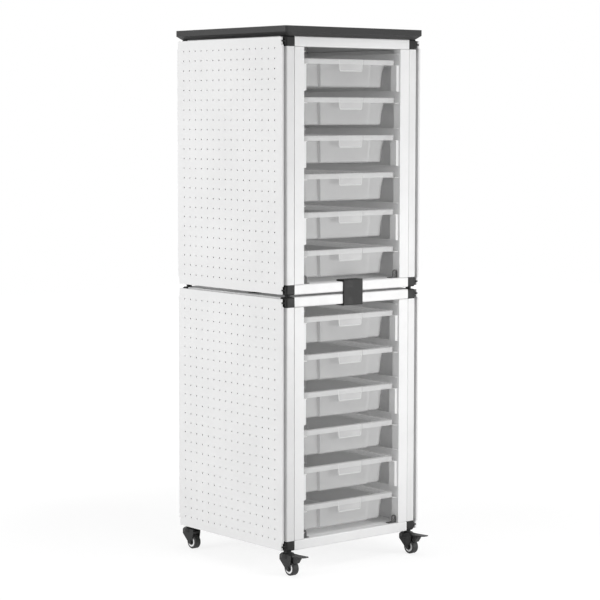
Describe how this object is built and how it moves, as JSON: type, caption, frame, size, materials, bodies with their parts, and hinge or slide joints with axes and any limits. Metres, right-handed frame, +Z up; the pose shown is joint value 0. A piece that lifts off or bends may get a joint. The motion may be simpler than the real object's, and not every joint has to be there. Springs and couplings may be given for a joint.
{
  "type": "modular bin storage unit",
  "caption": "Tall two-module storage tower on swivel castors with slide-out clear trays, perforated side panels, a steel tube frame and a dark worktop.",
  "frame": {"origin": "on the floor, under the middle of the box that holds the whole part, brake pedals included", "axes": "+Z up, +X across the front to the right as seen from the front, +Y from the front to the back"},
  "size_m": [0.4642, 0.5152, 1.38],
  "materials": {
    "white_steel": "white powder coat on square steel tube, fine satin",
    "white_sheet": "white powder coat on folded steel sheet, satin",
    "white_board": "white laminate on hardboard, low sheen",
    "runner_steel": "light grey powder coat on folded steel",
    "worktop_laminate": "dark grey fine-grained laminate with a matching edge",
    "black_nylon": "black moulded nylon, fine texture",
    "clip_black": "black moulded plastic, smooth satin",
    "clear_tray": "translucent clear polypropylene, frosted gloss",
    "castor_black": "black moulded nylon, satin",
    "pedal_black": "black moulded plastic foot plate, worn satin",
    "hub_white": "white moulded wheel centre",
    "tyre_rubber": "black soft tread",
    "zinc_steel": "bright zinc plating"
  },
  "bodies": {
    "cabinet": {"lower_corner_connectors": "black_nylon", "lower_posts": "white_steel", "lower_cross_rails": "white_steel", "lower_side_rails": "white_steel", "lower_left_peg_panel": "white_board", "lower_right_peg_panel": "white_board", "lower_left_liner": "white_sheet", "lower_right_liner": "white_sheet", "lower_back_panel": "white_board", "lower_floor_sheet": "white_sheet", "lower_runners": "runner_steel", "upper_corner_connectors": "black_nylon", "upper_posts": "white_steel", "upper_cross_rails": "white_steel", "upper_side_rails": "white_steel", "upper_left_peg_panel": "white_board", "upper_right_peg_panel": "white_board", "upper_left_liner": "white_sheet", "upper_right_liner": "white_sheet", "upper_back_panel": "white_board", "upper_floor_sheet": "white_sheet", "upper_runners": "runner_steel", "castor_stems": "castor_black", "worktop": "worktop_laminate", "worktop_studs": "zinc_steel", "stacking_pads": "black_nylon", "joining_clips": "clip_black", "panel_pins": "black_nylon", "corner_brackets": "clip_black"},
    "lower_tray_1": {"lower_tray_1": "clear_tray"},
    "lower_tray_2": {"lower_tray_2": "clear_tray"},
    "lower_tray_3": {"lower_tray_3": "clear_tray"},
    "lower_tray_4": {"lower_tray_4": "clear_tray"},
    "lower_tray_5": {"lower_tray_5": "clear_tray"},
    "lower_tray_6": {"lower_tray_6": "clear_tray"},
    "upper_tray_1": {"upper_tray_1": "clear_tray"},
    "upper_tray_2": {"upper_tray_2": "clear_tray"},
    "upper_tray_3": {"upper_tray_3": "clear_tray"},
    "upper_tray_4": {"upper_tray_4": "clear_tray"},
    "upper_tray_5": {"upper_tray_5": "clear_tray"},
    "upper_tray_6": {"upper_tray_6": "clear_tray"},
    "front_left_castor": {"front_left_castor_fork": "castor_black", "front_left_castor_axle": "zinc_steel"},
    "front_left_wheel": {"front_left_castor_hub": "hub_white", "front_left_castor_tyre": "tyre_rubber"},
    "front_left_brake": {"front_left_brake_pedal": "pedal_black"},
    "back_left_castor": {"back_left_castor_fork": "castor_black", "back_left_castor_axle": "zinc_steel"},
    "back_left_wheel": {"back_left_castor_hub": "hub_white", "back_left_castor_tyre": "tyre_rubber"},
    "front_right_castor": {"front_right_castor_fork": "castor_black", "front_right_castor_axle": "zinc_steel"},
    "front_right_wheel": {"front_right_castor_hub": "hub_white", "front_right_castor_tyre": "tyre_rubber"},
    "front_right_brake": {"front_right_brake_pedal": "pedal_black"},
    "back_right_castor": {"back_right_castor_fork": "castor_black", "back_right_castor_axle": "zinc_steel"},
    "back_right_wheel": {"back_right_castor_hub": "hub_white", "back_right_castor_tyre": "tyre_rubber"}
  },
  "joints": [
    {"name": "lower_tray_1_slide", "type": "slide", "parent": "cabinet", "child": "lower_tray_1", "axis": [0, -1, 0], "range_m": [0, 0.34]},
    {"name": "lower_tray_2_slide", "type": "slide", "parent": "cabinet", "child": "lower_tray_2", "axis": [0, -1, 0], "range_m": [0, 0.34]},
    {"name": "lower_tray_3_slide", "type": "slide", "parent": "cabinet", "child": "lower_tray_3", "axis": [0, -1, 0], "range_m": [0, 0.34]},
    {"name": "lower_tray_4_slide", "type": "slide", "parent": "cabinet", "child": "lower_tray_4", "axis": [0, -1, 0], "range_m": [0, 0.34]},
    {"name": "lower_tray_5_slide", "type": "slide", "parent": "cabinet", "child": "lower_tray_5", "axis": [0, -1, 0], "range_m": [0, 0.34]},
    {"name": "lower_tray_6_slide", "type": "slide", "parent": "cabinet", "child": "lower_tray_6", "axis": [0, -1, 0], "range_m": [0, 0.34]},
    {"name": "upper_tray_1_slide", "type": "slide", "parent": "cabinet", "child": "upper_tray_1", "axis": [0, -1, 0], "range_m": [0, 0.34]},
    {"name": "upper_tray_2_slide", "type": "slide", "parent": "cabinet", "child": "upper_tray_2", "axis": [0, -1, 0], "range_m": [0, 0.34]},
    {"name": "upper_tray_3_slide", "type": "slide", "parent": "cabinet", "child": "upper_tray_3", "axis": [0, -1, 0], "range_m": [0, 0.34]},
    {"name": "upper_tray_4_slide", "type": "slide", "parent": "cabinet", "child": "upper_tray_4", "axis": [0, -1, 0], "range_m": [0, 0.34]},
    {"name": "upper_tray_5_slide", "type": "slide", "parent": "cabinet", "child": "upper_tray_5", "axis": [0, -1, 0], "range_m": [0, 0.34]},
    {"name": "upper_tray_6_slide", "type": "slide", "parent": "cabinet", "child": "upper_tray_6", "axis": [0, -1, 0], "range_m": [0, 0.34]},
    {"name": "front_left_castor_swivel", "type": "hinge", "parent": "cabinet", "child": "front_left_castor", "pos_m": [-0.2048, -0.18165, 0.061], "axis": [0, 0, 1], "continuous": true},
    {"name": "front_left_wheel_spin", "type": "hinge", "parent": "front_left_castor", "child": "front_left_wheel", "pos_m": [-0.2048, -0.19845, 0.019], "axis": [1, 0, 0], "continuous": true},
    {"name": "front_left_brake_press", "type": "hinge", "parent": "front_left_castor", "child": "front_left_brake", "pos_m": [-0.2048, -0.20565, 0.0478], "axis": [1, 0, 0], "range_deg": [0, 10]},
    {"name": "back_left_castor_swivel", "type": "hinge", "parent": "cabinet", "child": "back_left_castor", "pos_m": [-0.2048, 0.23345, 0.061], "axis": [0, 0, 1], "continuous": true},
    {"name": "back_left_wheel_spin", "type": "hinge", "parent": "back_left_castor", "child": "back_left_wheel", "pos_m": [-0.2048, 0.21665, 0.019], "axis": [1, 0, 0], "continuous": true},
    {"name": "front_right_castor_swivel", "type": "hinge", "parent": "cabinet", "child": "front_right_castor", "pos_m": [0.2048, -0.18165, 0.061], "axis": [0, 0, 1], "continuous": true},
    {"name": "front_right_wheel_spin", "type": "hinge", "parent": "front_right_castor", "child": "front_right_wheel", "pos_m": [0.2048, -0.19845, 0.019], "axis": [1, 0, 0], "continuous": true},
    {"name": "front_right_brake_press", "type": "hinge", "parent": "front_right_castor", "child": "front_right_brake", "pos_m": [0.2048, -0.20565, 0.0478], "axis": [1, 0, 0], "range_deg": [0, 10]},
    {"name": "back_right_castor_swivel", "type": "hinge", "parent": "cabinet", "child": "back_right_castor", "pos_m": [0.2048, 0.23345, 0.061], "axis": [0, 0, 1], "continuous": true},
    {"name": "back_right_wheel_spin", "type": "hinge", "parent": "back_right_castor", "child": "back_right_wheel", "pos_m": [0.2048, 0.21665, 0.019], "axis": [1, 0, 0], "continuous": true}
  ]
}
